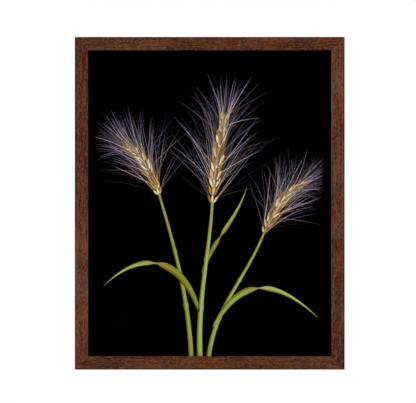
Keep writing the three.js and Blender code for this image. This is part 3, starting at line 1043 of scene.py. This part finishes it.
# %% Two bumpers
BUMPER_EASE = 0.9 * MM
BUMPER_FOOT = 0.2 * MM
DISH = [(0.66, 0.0), (0.52, 0.18 * MM), (0.0, 0.24 * MM)]  # share of the radius, depth
for node in ("wall_bumper_left", "wall_bumper_right"):
    low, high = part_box(node)
    radius = (high.x - low.x) / 2
    height = high.y - low.y
    profile = [(0.0, 0.0), (radius - BUMPER_FOOT, 0.0), (radius, BUMPER_FOOT)]
    profile += dome(radius, height - BUMPER_EASE, height, 6, radius - BUMPER_EASE)[:-1]
    profile += [(radius * share, height - depth) for share, depth in DISH]
    bumper = turned_pin(profile, 48)
    move(bumper, seat_at(node, low.y))
    finish_piece(node.replace("wall_", ""), bumper, rubber, [node])

# %% Four corner wedges
WEDGE_EASE = 0.1 * MM
for quarters, corner in enumerate(("top_right", "bottom_right", "bottom_left", "top_left")):
    node = "corner_wedge_" + corner
    low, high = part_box(node)
    angle = bmesh.new()
    half = WEDGE_THICKNESS / 2
    outline = [(-half, -half), (WEDGE_LEG, -half), (WEDGE_LEG, half)]
    outline += [(half, half), (half, WEDGE_LEG), (-half, WEDGE_LEG)]
    flat = angle.faces.new([angle.verts.new((x, low.y, z)) for x, z in outline])
    pull(angle, [flat], (0, high.y - low.y, 0))
    bmesh.ops.recalc_face_normals(angle, faces=angle.faces)
    ease(angle, crisp_edges(angle), WEDGE_EASE, 2)
    rotate(angle, quarters * 90, "Y")
    move(angle, low - span_of(angle.verts)[0])
    finish_piece("wedge_" + corner, angle, wedge_metal, [node])

# %% [markdown]
# ## The printed picture
# A print is ink on paper, but a picture of thin stalks needs more than a soft pattern: its
# lines have to stay crisp. So every stalk, leaf, grain and bristle is a strip of ink, bent
# along its own curve and a few thousandths of a millimetre thick. The picture is a spray
# of bearded grass: three nodding ears with gold grains and long, silky, lilac bristles.
# The strips lie in thin layers between the paper and the glazing, far ones first.

# %% The layers of ink, as planes in front of the paper
INK_THICKNESS = 0.005 * MM
INK_ROOM = PRINT_FRONT_Y - glazing_high.y
LAYERS = {
    "far": (0.12, 0.34),
    "stalks": (0.38, 0.52),
    "grains": (0.56, 0.72),
    "near": (0.74, 0.94),
}
chance = random.Random(20)
TONES = 8
ROW_SHARE = 0.94  # of a row of the map, so that two tones never touch


def ink_plane(layer):
    """A plane for one strip, at a random depth within its layer."""
    nearest, furthest = LAYERS[layer]
    return PRINT_FRONT_Y - INK_ROOM * chance.uniform(nearest, furthest)


print("room for the ink, mm:", round(INK_ROOM / MM, 3))

# %% A strip of ink along a path
def ink_strip(bm, path, widths, layer, tone, columns=1):
    """Bends a flat grid along a path in the plane of the picture.

    Its map holds the way along in u, and in v one row for each tone, with the way across.
    """
    tones = bm.loops.layers.uv.get("OFBake") or bm.loops.layers.uv.new("OFBake")
    rows = len(path) - 1
    verts = bmesh.ops.create_grid(bm, x_segments=columns, y_segments=rows, size=0.5)["verts"]
    plane = ink_plane(layer)
    spots = {}
    for vert in verts:
        step = round((vert.co.y + 0.5) * rows)
        across = vert.co.x
        ahead = path[min(step + 1, rows)] - path[max(step - 1, 0)]
        side = Vector((ahead.y, -ahead.x)).normalized()
        place = path[step] + side * across * widths[step]
        spots[vert] = (step / rows, (tone + 0.5 + across * ROW_SHARE) / TONES)
        vert.co = (MIDDLE.x + place.x, plane, MIDDLE.z + place.y)
    faces = {face for vert in verts for face in vert.link_faces}
    for face in faces:
        for loop in face.loops:
            loop[tones].uv = spots[loop.vert]
    face = next(iter(faces))
    face.normal_update()
    if face.normal.y > 0:
        bmesh.ops.reverse_faces(bm, faces=list(faces))


def curve(start, leave, arrive, end, steps):
    """A smooth path between two places, given in millimetres from the picture's middle."""
    knots = [Vector(knot) * MM for knot in (start, leave, arrive, end)]
    return interpolate_bezier(*knots, steps + 1)


def swelling(steps, widest, start=0.0, end=0.0, peak=0.4):
    """Widths that grow from start to widest and shrink to end."""
    widths = []
    for step in range(steps + 1):
        t = step / steps
        bulge = math.sin(math.pi * t ** (math.log(0.5) / math.log(peak)))
        base = start + (end - start) * t
        widths.append((base + (widest - base) * bulge) * MM)
    return widths


# %% The ink finishes
def ink(name):
    """An ink, with the way along a strip, the way across it, its row and its tone."""
    finish = Finish(name, {"Roughness": 0.5, "Specular IOR Level": 0.04})
    along, v = finish.uv_place()
    row = (v * TONES).floor()
    return finish, along, (v * TONES).fraction(), row, row / (TONES - 1)


bristle_ink, along, across, row, tone = ink("bristle_ink")
silks = [(0.45, 0.28, 0.10), (0.44, 0.31, 0.17), (0.43, 0.34, 0.33)]
silks += [(0.38, 0.32, 0.43), (0.26, 0.22, 0.32), (0.08, 0.065, 0.09)]
hue = bristle_ink.ramp(along, (0.0, 0.10, 0.26, 0.55, 0.85, 1.0), silks)
odd_row = (row * 0.5).fraction() * 2
cooler = bristle_ink.mix(1.0, hue, (0.90, 0.96, 1.14), "MULTIPLY")
hue = bristle_ink.mix(odd_row, cooler, hue)
hue = bristle_ink.mix(odd_row, hue, (1.10, 0.96, 0.90), "MULTIPLY")
brightness = (0.08 + tone.power(1.6) * 2.1) * (1 - abs(across - 0.5) * 1.2)
bristle_ink.feed("Base Color", bristle_ink.tinted(hue, brightness))

grain_ink, along, across, row, tone = ink("grain_ink")
roundness = 1 - ((across - 0.42) * (across - 0.42)) * 3.2
nerves = ((across * 5.0).fraction() - 0.5) * 2
nerves = 1 - (1 - abs(nerves).between(0.0, 0.35)) * 0.25
tip = 1 - along.between(0.70, 1.0) * 0.45
golds = [(0.012, 0.004, 0.0005), (0.141, 0.060, 0.0052), (0.270, 0.135, 0.0160)]
golds += [(0.400, 0.235, 0.0480), (0.580, 0.455, 0.2200), (0.780, 0.710, 0.5400)]
light = roundness * nerves * tip * (0.34 + tone * 0.80)
husk = grain_ink.ramp(light, (0.0, 0.25, 0.48, 0.68, 0.84, 1.0), golds)
foot = (1 - along.between(0.0, 0.22)) * 0.6
grain_ink.feed("Base Color", grain_ink.mix(foot, husk, (0.18, 0.22, 0.03)))

stalk_ink, along, across, row, tone = ink("stalk_ink")
lit_side = 1 - (across - 0.70) * (across - 0.70) * 1.85
turned_away = (1 - across).between(0.0, 0.16) * 0.6 + 0.4
ripples = stalk_ink.noise(stalk_ink.vector(across * 22, along * 9, tone * 30), 3.0)
veins = abs((across * 9.0).fraction() - 0.5) * 2
midrib = 1 - abs(across - 0.5).between(0.0, 0.07)
light = (0.52 + tone * 0.46) * (0.66 + ripples * 0.46 + veins * 0.14 + midrib * 0.20)
greens = [(0.006, 0.006, 0.002), (0.120, 0.094, 0.005), (0.200, 0.200, 0.010)]
greens += [(0.275, 0.370, 0.068), (0.380, 0.550, 0.200)]
skin = stalk_ink.ramp(lit_side * turned_away * light, (0.0, 0.28, 0.50, 0.74, 1.0), greens)
ripened = along.between(0.55, 1.0) * 0.4
stalk_ink.feed("Base Color", stalk_ink.mix(ripened, skin, (0.36, 0.22, 0.05)))

# %% [markdown]
# ## Stalks and leaves
# A grass stalk is a thin tube, a little lighter on the side that faces the light, and it
# carries long narrow leaves that fold over. One curve and one run of widths makes each.

# %% Stalks and leaves
EARS = [
    # knots from below the picture to the tip of the ear, scale, tone of the stalk
    (((-16, -252), (-20, -150), (0, -80), (4, 0), (10, 56), (18, 104), (24, 142)), 1.10, 5),
    (((-30, -252), (-34, -150), (-60, -60), (-82, 14), (-94, 52), (-112, 82), (-136, 94)), 0.95, 3),
    (((-2, -252), (6, -170), (60, -120), (88, -48), (104, -10), (126, 20), (154, 32)), 0.90, 4),
]
EAR_FOOT = 3  # the knot where the stalk ends and the ear begins
LEAVES = [
    # curve, widest, where it twists over, tone before and after the twist
    (((-17, -176), (-40, -96), (-104, -66), (-172, -134)), 11.5, 0.56, 1, 5),
    (((6, -200), (48, -120), (104, -118), (176, -186)), 10.5, 0.50, 3, 6),
    (((-12, -112), (8, -52), (44, -30), (60, 26)), 7.5, 0.40, 1, 4),
]
STALK_WIDTH = 9.0
STALK_TAPER = 5.0
STALK_JOINTS = (0.30, 0.62)
JOINT_SWELLING = 1.28
CORE_WIDTH = 4.0
CORE_TAPER = 3.0
LEAF_FOOT = 3.2
LEAF_TIP = 0.1
LEAF_PEAK = 0.36
TWIST_LENGTH = 0.055
TWIST_PINCH = 0.8


def blade_widths(steps, widest, twist):
    """Widths of a leaf blade that narrows to its edge where it twists over."""
    widths = swelling(steps, widest, LEAF_FOOT, LEAF_TIP, LEAF_PEAK)
    for step in range(steps + 1):
        pinch = math.exp(-(((step / steps - twist) / TWIST_LENGTH) ** 2))
        widths[step] *= 1 - TWIST_PINCH * pinch
    return widths


stalks = bmesh.new()
for knots, scale, stalk_tone in EARS:
    steps = 44
    widths = [(STALK_WIDTH - STALK_TAPER * step / steps) * scale * MM for step in range(steps + 1)]
    for joint in STALK_JOINTS:
        widths[round(joint * steps)] *= JOINT_SWELLING
    stalk = curve(*knots[: EAR_FOOT + 1], steps)
    ink_strip(stalks, stalk, widths, "stalks", stalk_tone, columns=4)
    core = [(CORE_WIDTH - CORE_TAPER * step / 16) * scale * MM for step in range(17)]
    ink_strip(stalks, curve(*knots[EAR_FOOT:], 16), core, "stalks", 3, columns=2)
for path, widest, twist, first_tone, last_tone in LEAVES:
    steps = 40
    places = curve(*path, steps)
    widths = blade_widths(steps, widest, twist)
    turn_over = round(twist * steps)
    first, last = slice(0, turn_over + 1), slice(turn_over, steps + 1)
    ink_strip(stalks, places[first], widths[first], "stalks", first_tone, columns=4)
    ink_strip(stalks, places[last][::-1], widths[last][::-1], "stalks", last_tone, columns=4)
finish_piece("print_stalks", stalks, stalk_ink, thickness=INK_THICKNESS)

# %% [markdown]
# ## Ears
# Barley and its kin carry grains in rows along a bent core. Each grain leans away from the
# core and ends in a bristle several times its length. The bristles start along the grain
# and spread like a fan, so the ear looks like a soft brush around a bright, knotty middle.

# %% Grains and bristles
GRAIN_LEVELS = 13
GRAIN_LENGTH = 17.0
GRAIN_WIDTH = 6.2
GRAIN_BOW = 0.9
CORE_GAP = 1.6
BRISTLES_PER_GRAIN = 6
NEAR_BRISTLES = 2
BRISTLE_LENGTH = (62, 104)
BRISTLE_WIDTH = (0.7, 1.05)
BRISTLE_TAPER = 0.82
FREE_MARGIN = 9.0 * MM
FREE_HALF_WIDTH = SIGHT_HALF_WIDTH - FREE_MARGIN
FREE_HALF_HEIGHT = SIGHT_HALF_HEIGHT - FREE_MARGIN


def turned(direction, degrees):
    """A direction in the plane of the picture, turned anticlockwise."""
    return direction.to_3d().xy @ Matrix.Rotation(-math.radians(degrees), 2)


def bristle(bm, root, heading, length, bend, width, layer, tone, steps=8):
    """A hair that leaves root along heading, bends, and keeps clear of the frame."""
    path = []
    for step in range(steps + 1):
        path.append(root if step == 0 else path[-1] + heading * (length / steps))
        heading = turned(heading, bend / steps)
    tip = path[-1]
    if abs(tip.x) > FREE_HALF_WIDTH or abs(tip.y) > FREE_HALF_HEIGHT:
        first = turned(heading, -bend)
        bristle(bm, root, first, length * 0.85, bend, width, layer, tone, steps)
        return
    widths = [width * (1 - BRISTLE_TAPER * step / steps) for step in range(steps + 1)]
    ink_strip(bm, path, widths, layer, tone)


grains, far_bristles, near_bristles = bmesh.new(), bmesh.new(), bmesh.new()
for knots, scale, stalk_tone in EARS:
    core = curve(*knots[EAR_FOOT:], GRAIN_LEVELS * 2)
    for level in range(GRAIN_LEVELS):
        t = level / (GRAIN_LEVELS - 1)
        root = core[level * 2]
        heading = (core[level * 2 + 2] - core[level * 2]).normalized()
        size = scale * (0.78 + 0.32 * math.sin(math.pi * min(1.0, t * 1.15)))
        for row in (-1, 1, 0):
            lean = row * (27 - 9 * t) + chance.uniform(-4, 4)
            direction = turned(heading, lean)
            length = GRAIN_LENGTH * size * chance.uniform(0.92, 1.06) * MM
            side = Vector((-heading.y, heading.x))
            base = root + side * row * CORE_GAP * size * MM
            tip = base + direction * length
            bend = side * row * -GRAIN_BOW * MM
            path = interpolate_bezier(base, base + direction * length * 0.3 - bend, tip + bend, tip, 8)
            widths = swelling(7, GRAIN_WIDTH * size * (0.86 if row else 1.0), 0.5, 0.5, 0.42)
            ink_strip(grains, path, widths, "grains", chance.randrange(2, 8), 4)
            for hair in range(BRISTLES_PER_GRAIN):
                near = hair < NEAR_BRISTLES
                bm = near_bristles if near else far_bristles
                fan = lean * chance.uniform(0.5, 1.5) + chance.gauss(0, 14)
                reach = chance.uniform(*BRISTLE_LENGTH) * scale * (1.05 - 0.35 * t) * MM
                start = base + direction * length * chance.uniform(0.55, 1.0)
                bend = row * chance.uniform(2, 16) + chance.gauss(0, 7)
                glow = chance.random() ** 1.7
                brightness = int(2 + 5.99 * glow) if near else int(4 * glow)
                width = chance.uniform(*BRISTLE_WIDTH) * MM
                layer = "near" if near else "far"
                bristle(bm, start, turned(heading, fan), reach, bend, width, layer, brightness)
for name, strips, finish in (
    ("print_grains", grains, grain_ink),
    ("print_bristles_near", near_bristles, bristle_ink),
    ("print_bristles_far", far_bristles, bristle_ink),
):
    finish_piece(name, strips, finish, thickness=INK_THICKNESS)
